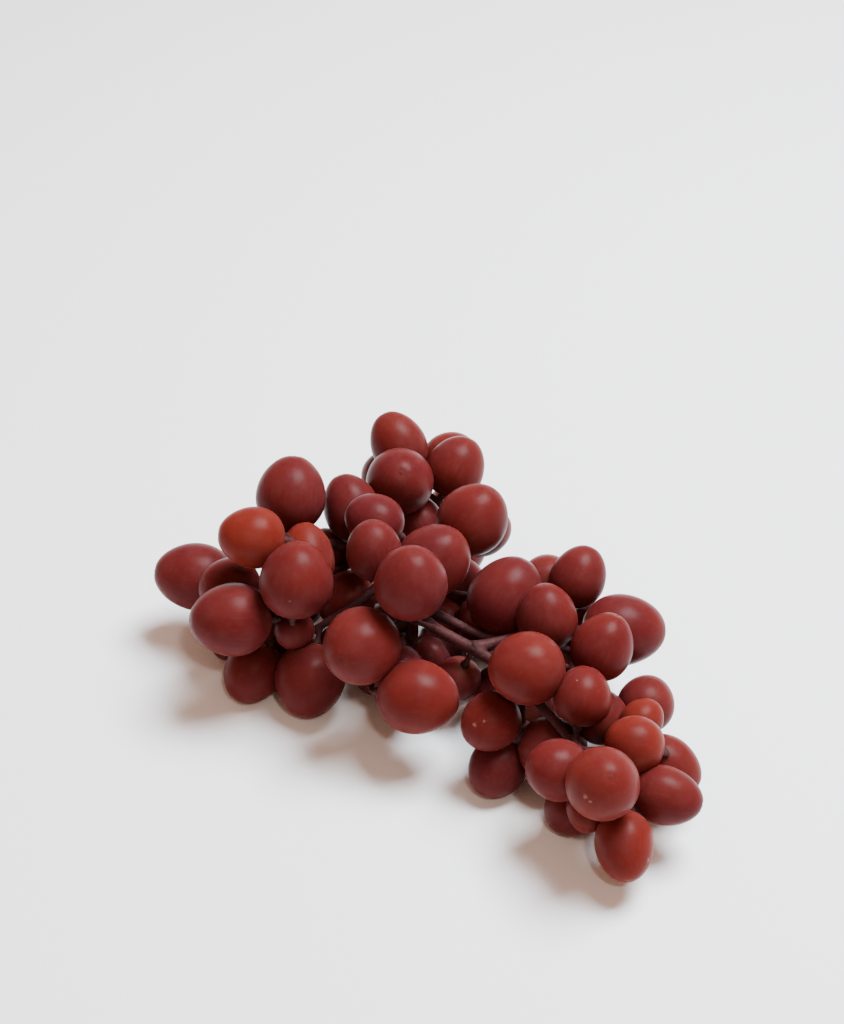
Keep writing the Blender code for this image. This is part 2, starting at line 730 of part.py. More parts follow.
def main():
    for old in list(bpy.data.objects):
        bpy.data.objects.remove(old)
    bunch = Bunch()
    bunch.settle()
    cutters = [build_stalk(bunch, spare=DENT_GAP), table_block()]
    clusters = [build_cluster(bunch, cluster, cutters) for cluster in range(len(bunch.names))]
    for cutter in cutters:
        bpy.data.objects.remove(cutter)
    stem = build_stalk(bunch, spare=0)
    stem.name = "stem"
    centre_on_origin([stem] + clusters)
    wear(stem, STALK_COLOUR, STALK_ROUGHNESS)
    for body in clusters:
        wear(body, SKIN_COLOUR, SKIN_ROUGHNESS)


main()
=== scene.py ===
"""The looks of a bunch of red grapes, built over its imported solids."""

import math
from typing import NamedTuple

import bpy
import numpy as np
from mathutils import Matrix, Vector


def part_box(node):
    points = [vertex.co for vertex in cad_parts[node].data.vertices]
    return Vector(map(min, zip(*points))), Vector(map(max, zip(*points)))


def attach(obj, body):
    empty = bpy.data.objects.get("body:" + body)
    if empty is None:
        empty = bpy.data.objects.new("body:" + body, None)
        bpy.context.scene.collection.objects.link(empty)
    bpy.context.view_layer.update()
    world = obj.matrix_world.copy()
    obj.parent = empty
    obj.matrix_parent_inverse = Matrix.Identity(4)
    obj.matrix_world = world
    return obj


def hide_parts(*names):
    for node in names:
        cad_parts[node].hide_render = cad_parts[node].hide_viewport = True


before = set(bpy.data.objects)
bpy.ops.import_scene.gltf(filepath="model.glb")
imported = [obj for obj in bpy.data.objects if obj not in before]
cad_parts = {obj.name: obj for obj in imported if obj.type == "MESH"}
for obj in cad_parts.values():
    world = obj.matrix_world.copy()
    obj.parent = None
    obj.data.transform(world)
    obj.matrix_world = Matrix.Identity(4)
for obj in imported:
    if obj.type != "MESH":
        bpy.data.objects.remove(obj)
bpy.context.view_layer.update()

# How the bunch lies
# Seventy-seven berries in twelve clusters, and the woody stalk that carries them, as settled on the table.
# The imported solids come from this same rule: each berry is put where it shows in the reference view,
# at its height above the table, and then berries and stalk press and bend until they fit.

MM = 0.001

FRAME_WIDTH_PX = 844
FRAME_HEIGHT_PX = 1024
FOCAL_LENGTH_PX = 1886
EYE = np.array([0.0, -395.6, 382.1])  # right, away and up, in millimetres, as all sizes of the layout are
EYE_PITCH_DEG = 39.5
BUNCH_TURN_DEG = 63.0

EGG = 0.1  # how much fuller a berry is towards its stalk than towards its blossom end
PRESS = 1.3  # how deep the berries of a cluster press into each other
PRESS_BELOW = 3.0  # and how deep they may where one of the two is hidden
CLUSTER_GAP = 0.7
REST_FLAT = 0.35  # how much of a resting berry the table flattens
REST_NEAR = 1.5  # a berry this near the table rests on it

RACHIS_POINTS = 31
RACHIS_BARE_POINTS = RACHIS_POINTS // 5  # at its cut end, which carry no berries
BRANCH_POINTS = 8
PEDICEL_POINTS = 7
RACHIS_RADIUS = (2.4, 1.1)  # at its cut end and at its tip
BRANCH_RADIUS = (1.5, 1.0)  # where it leaves the rachis and at its end
PEDICEL_RADIUS = 0.8
PEDICEL_LEAST = 4.0
CUSHION_RADIUS = 1.45
CUSHION_LENGTH = 1.6
CUSHION_GAP = 0.6
STALK_GAP = 0.5

# The stalk's own line, from its cut end to its tip, in the view's axes: right, away, up
RACHIS = [
    (-21, 57, 16),
    (-19, 48, 19),
    (-14, 30, 24),
    (-8, 12, 28),
    (0, -13, 29),
    (17, -25.5, 26.5),
    (28, -38, 25.5),
    (38, -52, 23),
    (46, -63, 20),
]

# A side branch leaves the rachis beside its cluster, save one that leaves it at an earlier point
BRANCH_LEAVES = {"berries_right_side": 14}


class Berry(NamedTuple):
    """A berry: where its centre shows, and its centre's height above the table and its size in millimetres.

    Its tip is the way that its blossom end points in the view: right, up and towards the eye.
    A hidden berry lies under or behind the ones that show, and gives way to them as they settle.
    """

    seen_x: float
    seen_y: float
    height: float
    width: float
    length: float
    tip: tuple = None
    hidden: bool = False


CLUSTERS = {
    "berries_left_top": [
        Berry(291, 492, 42, 19.6, 21.8, (0.1, 1.0, 0.0)),
        Berry(251, 537, 45, 17.0, 18.6, (-1.0, 0.1, 0.2)),
        Berry(307, 559, 34, 15.6, 20.0, (-0.1, 1.0, 0.0)),
        Berry(295, 581, 42, 20.0, 21.4, (0.1, 0.9, 0.3)),
        Berry(265, 560, 22, 16.0, 18.0, hidden=True),
        Berry(338, 560, 20, 15.0, 17.0, hidden=True),
    ],
    "berries_left_side": [
        Berry(196, 577, 23, 19.6, 23.6, (-1.0, 0.15, 0.1)),
        Berry(229, 588, 30, 17.2, 18.0),
        Berry(232, 618, 32, 20.2, 22.8, (-0.95, 0.0, 0.3)),
        Berry(252, 632, 8, 14.6, 16.0, hidden=True),
        Berry(228, 592, 9, 16.0, 18.0, hidden=True),
    ],
    "berries_left_low": [
        Berry(295, 629, 27, 11.2, 12.0),
        Berry(253, 673, 12, 16.4, 18.0, (-0.5, -0.8, 0.1)),
        Berry(309, 681, 10, 19.8, 21.2),
        Berry(285, 600, 12, 16.0, 18.0, hidden=True),
        Berry(268, 636, 9, 15.0, 17.0, hidden=True),
    ],
    "berries_crown_back": [
        Berry(398, 444, 42, 16.4, 20.4, (-0.45, 1.0, 0.1)),
        Berry(400, 481, 42, 19.6, 20.4),
        Berry(456, 467, 43, 17.0, 19.0, (0.4, 0.85, 0.1)),
        Berry(451, 457, 32, 15.5, 17.0),
        Berry(352, 508, 38, 16.4, 20.5, (-0.35, 0.9, 0.1)),
        Berry(385, 475, 28, 14.6, 16.0),
        Berry(420, 524, 26, 15.0, 16.5),
    ],
    "berries_crown_low": [
        Berry(400, 508, 10, 17.0, 19.0, (-0.6, -0.2, -0.8), hidden=True),
        Berry(444, 503, 9, 17.0, 19.0, hidden=True),
        Berry(456, 548, 9, 17.0, 19.0, hidden=True),
        Berry(410, 556, 9, 16.0, 18.0, hidden=True),
        Berry(447, 594, 9, 17.0, 18.0, hidden=True),
        Berry(482, 628, 13, 16.0, 17.0, (0.0, -0.8, -0.6), hidden=True),
        Berry(438, 622, 8, 12.0, 13.0, hidden=True),
    ],
    "berries_crown_front": [
        Berry(474, 518, 41, 19.6, 21.0, (0.5, 0.7, 0.4)),
        Berry(484, 530, 27, 15.0, 17.0),
        Berry(374, 521, 48, 15.6, 17.0),
        Berry(370, 549, 49, 15.4, 17.0, (-0.1, 0.9, 0.4)),
        Berry(438, 560, 45, 19.6, 20.8, (0.5, 0.5, 0.4)),
        Berry(411, 582, 52, 19.6, 20.6, (0.1, 0.8, 0.6)),
    ],
    "berries_middle": [
        Berry(357, 644, 38, 21.0, 21.6),
        Berry(422, 700, 24, 20.0, 22.4, (0.95, -0.1, 0.3)),
        Berry(396, 682, 18, 16.0, 20.0, (-0.1, -1.0, 0.1)),
        Berry(459, 680, 16, 12.4, 13.2),
        Berry(432, 654, 17, 10.0, 11.4),
        Berry(346, 600, 22, 15.6, 17.6),
        Berry(380, 660, 14, 15.6, 17.0, hidden=True),
        Berry(412, 592, 9, 16.0, 18.0, hidden=True),
        Berry(390, 634, 9, 17.0, 18.5, hidden=True),
        Berry(336, 644, 9, 14.0, 15.5, hidden=True),
        Berry(466, 660, 8, 15.5, 17.0, hidden=True),
    ],
    "berries_right_top": [
        Berry(505, 596, 36, 20.4, 23.4, (0.5, 0.85, 0.1)),
        Berry(548, 580, 25, 15.2, 16.6),
        Berry(579, 578, 34, 15.4, 18.0, (0.4, 0.9, 0.1)),
        Berry(547, 617, 39, 16.6, 18.8, (-0.1, 0.95, 0.3)),
    ],
    "berries_right_side": [
        Berry(624, 628, 28, 19.6, 23.2, (1.0, 0.0, 0.0)),
        Berry(603, 645, 36, 16.4, 18.8, (0.4, 0.9, 0.2)),
        Berry(523, 667, 39, 19.4, 20.4, (-0.9, 0.0, 0.4)),
        Berry(585, 700, 36, 15.4, 16.0),
        Berry(545, 612, 9, 16.0, 18.0, hidden=True),
        Berry(590, 650, 10, 16.5, 18.5, hidden=True),
        Berry(545, 670, 9, 16.0, 17.0, hidden=True),
    ],
    "berries_tip_right": [
        Berry(646, 703, 15, 15.4, 16.2),
        Berry(641, 717, 22, 11.2, 12.2),
        Berry(632, 741, 30, 15.0, 15.8, (-0.9, 0.3, 0.3)),
        Berry(668, 770, 12, 15.6, 19.0, (0.8, -0.5, 0.1)),
        Berry(668, 800, 14, 15.2, 18.8, (0.95, -0.25, 0.2)),
        Berry(611, 711, 14, 14.5, 16.0, hidden=True),
        Berry(628, 752, 8, 13.0, 14.0, hidden=True),
    ],
    "berries_tip_front": [
        Berry(603, 783, 34, 18.6, 19.4, (0.1, 0.3, 1.0)),
        Berry(627, 847, 9, 15.2, 18.6, (0.0, -0.9, 0.45)),
        Berry(572, 808, 8, 14.8, 15.8),
        Berry(590, 811, 17, 11.4, 12.4),
        Berry(554, 766, 27, 16.0, 17.0),
        Berry(618, 790, 9, 13.4, 14.6, hidden=True),
    ],
    "berries_tip_left": [
        Berry(490, 722, 25, 15.6, 17.0),
        Berry(504, 766, 9, 15.6, 16.6),
        Berry(546, 750, 18, 16.8, 17.8),
        Berry(578, 740, 9, 12.6, 13.5, hidden=True),
        Berry(515, 704, 8, 14.5, 16.0, hidden=True),
        Berry(494, 690, 8, 14.0, 15.5, hidden=True),
    ],
}


def unit(vectors):
    """Each vector at length 1."""
    return vectors / np.linalg.norm(vectors, axis=-1, keepdims=True)


def view_axes():
    """The reference view's right, up and forward."""
    pitch = math.radians(EYE_PITCH_DEG)
    right = np.array([1.0, 0.0, 0.0])
    up = np.array([0.0, math.sin(pitch), math.cos(pitch)])
    forward = np.array([0.0, math.cos(pitch), -math.sin(pitch)])
    return right, up, forward


def seen_at(x, y, height):
    """The point at a height above the table that shows at a pixel of the reference view."""
    right, up, forward = view_axes()
    across = (x - FRAME_WIDTH_PX / 2) / FOCAL_LENGTH_PX
    down = (y - FRAME_HEIGHT_PX / 2) / FOCAL_LENGTH_PX
    ray = forward + right * across - up * down
    return EYE + ray * (height - EYE[2]) / ray[2]


def tip_way(tip):
    """The direction of a tip that is given as right, up and towards the eye."""
    right, up, forward = view_axes()
    return unit(right * tip[0] + up * tip[1] - forward * tip[2])


def smooth_line(knots, count):
    """Points at even steps of a smooth curve through the knots."""
    knots = np.array(knots, float)
    before = 2 * knots[0] - knots[1]
    after = 2 * knots[-1] - knots[-2]
    ends = np.vstack([before, knots, after])
    line = []
    for step in np.linspace(0, len(knots) - 1, count):
        k = min(int(step), len(knots) - 2)
        f = step - k
        a, b, c, d = ends[k : k + 4]
        bend = (2 * a - 5 * b + 4 * c - d) * f**2 + (3 * b - a - 3 * c + d) * f**3
        line.append((2 * b + (c - a) * f + bend) / 2)
    return np.array(line)


class Bunch:
    """The berries and the lines of the stalk, which settle against one another."""

    SWEEPS = 420
    LAST_SWEEPS = 120  # after these, only the stalk still moves
    CLOSING_SWEEPS = 120  # the last of them, in which the stalk no longer moves the berries
    REROOT_SWEEPS = (100, 200, 280)  # at these, each berry is carried by what is nearest by then
    EASE = 0.35  # share of each correction that one sweep makes
    SIDEWAYS = 0.1  # how freely a berry that shows moves across the view, against along it
    HOLD = 0.25  # how freely it moves at all, against a hidden one
    HOMING = (0.15, 0.005)  # shares of its way back in each sweep: across the view, and along it
    OFF_BRANCH = 3.0  # how much nearer than its side branch the rachis must be to carry a berry
    TOO_CLOSE = 2  # how strongly a point that leaves too short a pedicel is passed over
    STIFFNESS = 0.3  # how strongly the stalk's lines straighten
    FOLLOW = 0.05  # how quickly a side branch's end follows the middle of its cluster
    EGG_MEAN = 0.3  # the egg shape's own swelling near a berry's waist, as a share of EGG
    STALK_YIELD = 0.5  # share of a clash between the stalk and a berry that each of them makes up

    def __init__(self):
        self.names = list(CLUSTERS)
        rows = [(name, berry) for name in self.names for berry in CLUSTERS[name]]
        self.cluster = np.array([self.names.index(name) for name, _ in rows])
        self.berries = [berry for _, berry in rows]
        self.everyone = np.arange(len(rows))
        self.centre = np.array([seen_at(b.seen_x, b.seen_y, b.height) for b in self.berries])
        self.short = np.array([b.width / 2 for b in self.berries])
        self.long = np.array([b.length / 2 for b in self.berries])
        self.hidden = np.array([b.hidden for b in self.berries])
        self.along = np.where(self.hidden, 1.0, self.HOLD)
        self.across = np.where(self.hidden, 1.0, self.HOLD * self.SIDEWAYS)
        self.home = self.centre.copy()
        self.rachis = smooth_line(RACHIS, RACHIS_POINTS)
        self.root = np.zeros(len(rows), int)
        self.start_branches()
        self.find_roots()
        self.turn_outward()
        self.start_pedicels()

    def members(self, cluster):
        """The berries of a cluster, by their numbers."""
        return np.flatnonzero(self.cluster == cluster)

    def start_branches(self):
        """A straight side branch for each cluster, from the rachis to the middle of its berries."""
        self.branches = np.zeros((len(self.names), BRANCH_POINTS, 3))
        steps = np.linspace(0, 1, BRANCH_POINTS)[:, None]
        for cluster in range(len(self.names)):
            middle = self.centre[self.members(cluster)].mean(axis=0)
            nearest = int(np.argmin(np.linalg.norm(self.rachis - middle, axis=1)))
            beside = int(np.clip(nearest - 1, 1, RACHIS_POINTS - 2))
            leaves = BRANCH_LEAVES.get(self.names[cluster], beside)
            start = self.rachis[leaves]
            self.branches[cluster] = start + (middle - start) * steps

    def find_roots(self):
        """The point of its side branch, or of the rachis, that carries each berry: the nearest one."""
        points = self.stalk_points()
        carrier = np.full(len(points), -1)
        carrier[RACHIS_POINTS:] = np.repeat(np.arange(len(self.names)), BRANCH_POINTS)
        usable = np.ones(len(points), bool)
        usable[:RACHIS_BARE_POINTS] = False
        usable[RACHIS_POINTS::BRANCH_POINTS] = False
        usable[RACHIS_POINTS + 1 :: BRANCH_POINTS] = False
        for i, berry in enumerate(self.berries):
            target = self.centre[i]
            least = PEDICEL_LEAST + self.long[i]
            if berry.tip:
                target = target - tip_way(berry.tip) * self.long[i]
                least = PEDICEL_LEAST
            away = np.linalg.norm(points - target, axis=1)
            allowed = usable & ((carrier == -1) | (carrier == self.cluster[i]))
            short_by = np.maximum(least - away, 0)
            away = np.where(allowed, away, np.inf) + self.TOO_CLOSE * short_by
            self.root[i] = (away + np.where(carrier == -1, self.OFF_BRANCH, 0)).argmin()

    def stalk_points(self):
        """The points of the rachis and then those of every side branch."""
        return np.vstack([self.rachis, self.branches.reshape(-1, 3)])

    def start_pedicels(self):
        """A straight pedicel from its side branch to each berry."""
        steps = np.linspace(0, 1, PEDICEL_POINTS)[None, :, None]
        start = self.stalk_points()[self.root][:, None]
        end = self.stalk_ends()[:, None]
        self.pedicels = start + (end - start) * steps

    def turn_outward(self):
        """Each berry's blossom end points its own way, or away from the branch that carries it."""
        self.axis = unit(self.centre - self.stalk_points()[self.root])
        for i, berry in enumerate(self.berries):
            if berry.tip:
                self.axis[i] = tip_way(berry.tip)

    def stalk_ends(self):
        """Where each pedicel's cushion stops, just short of its berry."""
        return self.centre - self.axis * (self.long + CUSHION_GAP)[:, None]

    def reach(self, i, direction):
        """How far berries i reach from their centres along a direction, as a plane would meet them."""
        lean = (self.axis[i] * direction).sum(axis=-1)
        short, long = self.short[i], self.long[i]
        egg = EGG * short * lean * (1 - lean**2)
        return np.sqrt(short**2 + (long**2 - short**2) * lean**2) - egg

    def skin_at(self, i, direction):
        """How far the skin of berries i is from their centres along a ray."""
        lean = (self.axis[i] * direction).sum(axis=-1)
        across = (1 - lean**2) / self.short[i] ** 2
        return (1 + EGG * self.EGG_MEAN) / np.sqrt(across + lean**2 / self.long[i] ** 2)

    def give(self, i, push):
        """How a push moves berries i: those that show move mostly along the line of sight."""
        sight = unit(EYE - self.centre[i])
        along = sight * (sight * push).sum(axis=-1, keepdims=True)
        return along * self.along[i][..., None] + (push - along) * self.across[i][..., None]

    def ties(self, first, second, gap):
        """The shortest gaps that make one body of each cluster."""
        holds = np.zeros(len(first), bool)
        body = self.everyone.copy()
        for k in np.argsort(gap):
            i, j = first[k], second[k]
            if self.cluster[i] == self.cluster[j] and body[i] != body[j]:
                body[body == body[j]] = body[i]
                holds[k] = True
        return holds

    def press_berries(self, pairs):
        """Berries of one cluster press together, and those of two clusters keep apart."""
        first, second = pairs
        run = self.centre[second] - self.centre[first]
        apart = np.linalg.norm(run, axis=1)
        way = run / apart[:, None]
        together = self.cluster[first] == self.cluster[second]
        press = np.where(self.hidden[first] | self.hidden[second], PRESS_BELOW, PRESS)
        spare = np.where(together, -press, CLUSTER_GAP)
        need = self.reach(first, way) + self.reach(second, -way) + spare - apart
        tied = self.ties(first, second, -need)
        need = np.where((need > 0) | tied, need + np.where(tied, press - PRESS, 0), 0)
        there = self.give(second, way)
        back = self.give(first, way)
        step = need / ((there + back) * way).sum(axis=1) * self.EASE
        np.add.at(self.centre, second, step[:, None] * there)
        np.add.at(self.centre, first, -step[:, None] * back)

    def part_from_stalk(self, points, radii, skip, berries_move):
        """How far each of the stalk's points moves clear of the berries, while they move clear of it.

        The skip array gives the berry that each point may come near, or -1.
        """
        run = self.centre[None] - points[:, None]
        apart = np.linalg.norm(run, axis=2)
        way = run / apart[..., None]
        near = self.skin_at(self.everyone[None], -way) + radii[:, None] + STALK_GAP
        need = np.maximum(near - apart, 0)
        need[skip[:, None] == self.everyone[None]] = 0
        if berries_move:
            worst = need.argmax(axis=0)
            push = need[worst, self.everyone, None] * way[worst, self.everyone]
            self.centre += self.give(self.everyone, push) * self.STALK_YIELD / 2
        return -(need[..., None] * way).sum(axis=1) * self.STALK_YIELD

    def bend_stalk(self, berries_move):
        """The rachis stays, and the side branches and pedicels find their way between the berries."""
        none = np.full(RACHIS_POINTS, -1)
        self.part_from_stalk(self.rachis, rachis_radii(), none, berries_move=True)

        lines = self.branches
        radii = np.tile(branch_radii(), len(lines))
        none = np.full(len(radii), -1)
        push = self.part_from_stalk(lines.reshape(-1, 3), radii, none, berries_move)
        push = push.reshape(lines.shape)
        push[:, 1:-1] += self.STIFFNESS * straighten(lines)
        push[:, 0] = 0
        for cluster in range(len(self.names)):
            middle = self.centre[self.members(cluster)].mean(axis=0)
            push[cluster, -1] += (middle - lines[cluster, -1]) * self.FOLLOW
        lines += push

        lines = self.pedicels
        lines[:, 0] = self.stalk_points()[self.root]
        lines[:, -1] = self.stalk_ends()
        lines[:, -2] = lines[:, -1] - self.axis * CUSHION_LENGTH
        radii = np.full(lines.shape[:2], PEDICEL_RADIUS)
        radii[:, -1] = CUSHION_RADIUS
        skip = np.full(lines.shape[:2], -1)
        skip[:, -2:] = self.everyone[:, None]
        push = self.part_from_stalk(lines.reshape(-1, 3), radii.ravel(), skip.ravel(), berries_move)
        push = push.reshape(lines.shape)
        push[:, 1:-1] += self.STIFFNESS * straighten(lines)
        push[:, [0, -2, -1]] = 0
        lines += push

    def rest_on_table(self):
        """No berry is below the table, and one that comes near it rests there with a small flat."""
        down = np.array([0.0, 0.0, -1.0])
        low = self.centre[:, 2] - self.reach(self.everyone, down)
        rise = np.where(low < REST_NEAR, -REST_FLAT - low, 0)
        sight = unit(EYE - self.centre)
        self.centre += sight * (rise / sight[:, 2])[:, None]

    def go_home(self):
        """Each berry drifts back to its own place, above all to the line where it shows."""
        sight = unit(self.home - EYE)
        out = self.centre - self.home
        along = sight * (sight * out).sum(axis=1)[:, None]
        self.centre -= self.HOMING[0] * (out - along) + self.HOMING[1] * along

    def settle(self):
        """Presses, bends and rests, sweep by sweep, until the berries and the stalk fit."""
        pairs = np.triu_indices(len(self.berries), 1)
        for sweep in range(self.SWEEPS):
            closing = sweep >= self.SWEEPS - self.CLOSING_SWEEPS
            if sweep in self.REROOT_SWEEPS:
                self.find_roots()
                self.start_pedicels()
            if not closing:
                self.go_home()
            self.turn_outward()
            self.press_berries(pairs)
            self.bend_stalk(berries_move=not closing)
            self.rest_on_table()
        self.turn_outward()
        settled = self.centre.copy()
        for _ in range(self.LAST_SWEEPS):
            self.bend_stalk(berries_move=False)
            self.centre = settled.copy()


def straighten(lines):
    """How far each inner point of the lines is from the middle of its two neighbours."""
    return (lines[:, :-2] + lines[:, 2:]) / 2 - lines[:, 1:-1]


def rachis_radii():
    """The rachis's radius at each of its points."""
    return np.linspace(*RACHIS_RADIUS, RACHIS_POINTS)


def branch_radii():
    """A side branch's radius at each of its points."""
    return np.linspace(*BRANCH_RADIUS, BRANCH_POINTS)


def turned(points):
    """The same points, in metres, in the part's own axes: +X towards the stalk's tip, +Z up."""
    turn = math.radians(BUNCH_TURN_DEG)
    across = np.array([math.cos(turn), -math.sin(turn), 0.0])
    away = np.array([math.sin(turn), math.cos(turn), 0.0])
    up = np.array([0.0, 0.0, 1.0])
    return points @ np.array([across, away, up]).T * MM


def box_middle(bunch, cluster):
    """The middle of a cluster's own box, in metres, before it is put over the frame's middle."""
    who = bunch.members(cluster)
    centre = turned(bunch.centre[who])
    lean = turned(bunch.axis[who]) / MM
    short, long = bunch.short[who, None] * MM, bunch.long[who, None] * MM
    reach = np.sqrt(short**2 + (long**2 - short**2) * lean**2)
    return ((centre - reach).min(axis=0) + (centre + reach).max(axis=0)) / 2


def frame_middle(name):
    """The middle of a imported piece's box."""
    low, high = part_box(name)
    return np.array((low + high) / 2)


bunch = Bunch()
bunch.settle()
shifts = [frame_middle(name) - box_middle(bunch, k) for k, name in enumerate(bunch.names)]
SHIFT = np.mean(shifts, axis=0) * (1, 1, 0)


def placed(points):
    """Points of the layout, in metres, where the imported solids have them."""
    return turned(points) + SHIFT


# The stalk
# One woody stalk, dusky plum where it has dried: the rachis, a side branch into each cluster, and a short
# pedicel to every berry, which ends in a swollen cushion. It grew as one piece, so each joint is rounded.

COLLAR = (1.5, 1.15)  # a branch is this much thicker where it leaves, and just after
KNOB_RADIUS = 1.6  # of the swelling at a side branch's end
KNOB_TAPER = (0.6, 1.0, 0.6)
CUSHION_STEPS = (1.3, 0.5, 0.0)  # where a cushion starts, swells and ends, in its lengths before the berry
CUSHION_TAPER = (0.6, 1.0, 0.85)
CUT_END_FLARE = 1.2
ROD_SIDES = 14
ROD_STEPS = 3  # between two points of its line
CUSHION_SINK = 1.3  # how far the cushion reaches past its end in the layout, into the berry's dimple
GRAIN_SIZE = 0.00036  # of the mesh that joins the rods into one skin
ROUNDING = (0.5, 3)  # how far each round of softening goes, and how many there are
STALK_PLUM = (0.050, 0.0115, 0.0125, 1.0)
STALK_DARK = (0.020, 0.005, 0.006, 1.0)
STALK_DRY = (0.10, 0.036, 0.029, 1.0)
CUT_DEPTH = 0.0004  # how far below the cut face the wood still looks freshly cut
CUT_PITH = (0.20, 0.11, 0.06, 1.0)
CUT_WOOD = (0.11, 0.055, 0.03, 1.0)
PITH_EDGE = (0.25, 0.8)  # where the pith starts and stops turning to wood, in radii of the rachis
BARK_PATCHES = (260.0, 5.0, 0.6)  # scale, detail and roughness of a noise, here and below
BARK_STREAKS = (1300.0, 3.0, 0.7)
CORK_SCALE = 620.0
PLUM_PATCHES = (0.34, 0.62)  # the noise at which the dark bark starts to turn plum, and is all plum
DRY_STREAKS = (0.56, 0.74, 0.0, 0.45)  # where its noise starts and ends, and the colour's share at both
CORK_DOTS = (0.26, 0.16, 0.0, 0.35)
BARK_SHEEN = 0.15
BARK_ROUGHNESS = (0.78, 0.5)
BARK_RELIEF = {"Strength": 0.6, "Distance": 0.0002}


def add(tree, kind, inputs=None, **settings):
    """A node with its settings. Each of its inputs is a value or another node's output."""
    made = tree.nodes.new(kind)
    for name, value in settings.items():
        setattr(made, name, value)
    for key, value in (inputs or {}).items():
        socket = made.inputs[key]
        if isinstance(value, bpy.types.NodeSocket):
            tree.links.new(value, socket)
        else:
            socket.default_value = value
    return made


def new_tree(name, inputs):
    """A geometry nodes tree with a shape in, a shape out and the named inputs for its sizes."""
    tree = bpy.data.node_groups.new(name, "GeometryNodeTree")
    face = tree.interface
    face.new_socket("Shape", in_out="INPUT", socket_type="NodeSocketGeometry")
    for label, kind in inputs.items():
        face.new_socket(label, in_out="INPUT", socket_type="NodeSocket" + kind)
    face.new_socket("Shape", in_out="OUTPUT", socket_type="NodeSocketGeometry")
    return tree, tree.nodes.new("NodeGroupInput").outputs


def attribute(tree, name, data_type="FLOAT"):
    node = add(tree, "GeometryNodeInputNamedAttribute", {"Name": name}, data_type=data_type)
    return node.outputs["Attribute"]


def grow(obj, tree, values):
    """Puts the tree on the object, with its named inputs set."""
    modifier = obj.modifiers.new(tree.name, "NODES")
    modifier.node_group = tree
    for item in tree.interface.items_tree:
        if item.in_out == "INPUT" and item.name in values:
            modifier[item.identifier] = values[item.name]


def keep_result(obj):
    """Turns the object, as its modifiers make it, into a plain mesh."""
    graph = bpy.context.evaluated_depsgraph_get()
    mesh = bpy.data.meshes.new_from_object(obj.evaluated_get(graph))
    obj.modifiers.clear()
    obj.data = mesh


def linked(name, mesh):
    obj = bpy.data.objects.new(name, mesh)
    bpy.context.scene.collection.objects.link(obj)
    return obj


def stalk_threads():
    """Every rod of the stalk, as its points and its radii in millimetres."""
    radii = rachis_radii()
    radii[0] *= CUT_END_FLARE
    threads = [(bunch.rachis, radii)]
    for line in bunch.branches:
        radii = branch_radii()
        radii[:2] *= COLLAR
        threads.append((line, radii))
        way = unit(line[-1] - line[-2]) * KNOB_RADIUS
        knob = np.array([line[-1] - way, line[-1], line[-1] + way])
        threads.append((knob, np.array(KNOB_TAPER) * KNOB_RADIUS))
    for line, axis in zip(bunch.pedicels, bunch.axis):
        radii = np.full(len(line), PEDICEL_RADIUS)
        radii[:2] *= COLLAR
        threads.append((line, radii))
        end = line[-1] + axis * CUSHION_SINK
        steps = np.array(CUSHION_STEPS)[:, None] * CUSHION_LENGTH
        threads.append((end - axis * steps, np.array(CUSHION_TAPER) * CUSHION_RADIUS))
    return threads


def thread_mesh(threads):
    """The rods' lines as a mesh of edges, each point with its thickness."""
    points, edges, thickness = [], [], []
    for line, radii in threads:
        first = len(points)
        points.extend(placed(line))
        edges.extend((first + k, first + k + 1) for k in range(len(line) - 1))
        thickness.extend(radii * MM)
    mesh = bpy.data.meshes.new("stalk")
    mesh.from_pydata(points, edges, [])
    mesh.attributes.new("thickness", "FLOAT", "POINT").data.foreach_set("value", thickness)
    return mesh


def rod_tree():
    """Turns lines into round rods with closed ends."""
    tree, given = new_tree("Stalk rods", {"Sides": "Int", "Steps": "Int", "Bark": "Material"})
    lines = add(tree, "GeometryNodeMeshToCurve", {"Mesh": given["Shape"]})
    smooth = add(tree, "GeometryNodeCurveSplineType", {"Curve": lines.outputs[0]}, spline_type="CATMULL_ROM")
    steps = {"Geometry": smooth.outputs[0], "Resolution": given["Steps"]}
    finer = add(tree, "GeometryNodeSetSplineResolution", steps)
    round_side = add(tree, "GeometryNodeCurvePrimitiveCircle", {"Resolution": given["Sides"], "Radius": 1.0})
    rods = add(
        tree,
        "GeometryNodeCurveToMesh",
        {
            "Curve": finer.outputs[0],
            "Profile Curve": round_side.outputs["Curve"],
            "Scale": attribute(tree, "thickness"),
            "Fill Caps": True,
        },
    )
    real = add(tree, "GeometryNodeRealizeInstances", {"Geometry": rods.outputs[0]})
    barked = add(tree, "GeometryNodeSetMaterial", {"Geometry": real.outputs[0], "Material": given["Bark"]})
    add(tree, "NodeGroupOutput", {"Shape": barked.outputs[0]})
    return tree


def mix(tree, factor, first, second):
    """The first colour, turned by the factor into the second."""
    node = add(tree, "ShaderNodeMix", {"Factor": factor, "A": first, "B": second}, data_type="RGBA")
    return node.outputs["Result"]


def ranged(tree, value, low, high, to_low=0.0, to_high=1.0):
    """The value, taken from the range low to high to another range."""
    ends = {"Value": value, "From Min": low, "From Max": high, "To Min": to_low, "To Max": to_high}
    return add(tree, "ShaderNodeMapRange", ends).outputs[0]


def sum_of(tree, first, second, operation="ADD"):
    """The two values added, or put together as the operation says."""
    return add(tree, "ShaderNodeMath", {0: first, 1: second}, operation=operation).outputs[0]


def noise_at(tree, place, scale, detail=2.0, roughness=0.5):
    """A soft noise, from 0 to 1, over the place."""
    sizes = {"Vector": place, "Scale": scale, "Detail": detail, "Roughness": roughness}
    return add(tree, "ShaderNodeTexNoise", sizes).outputs["Fac"]


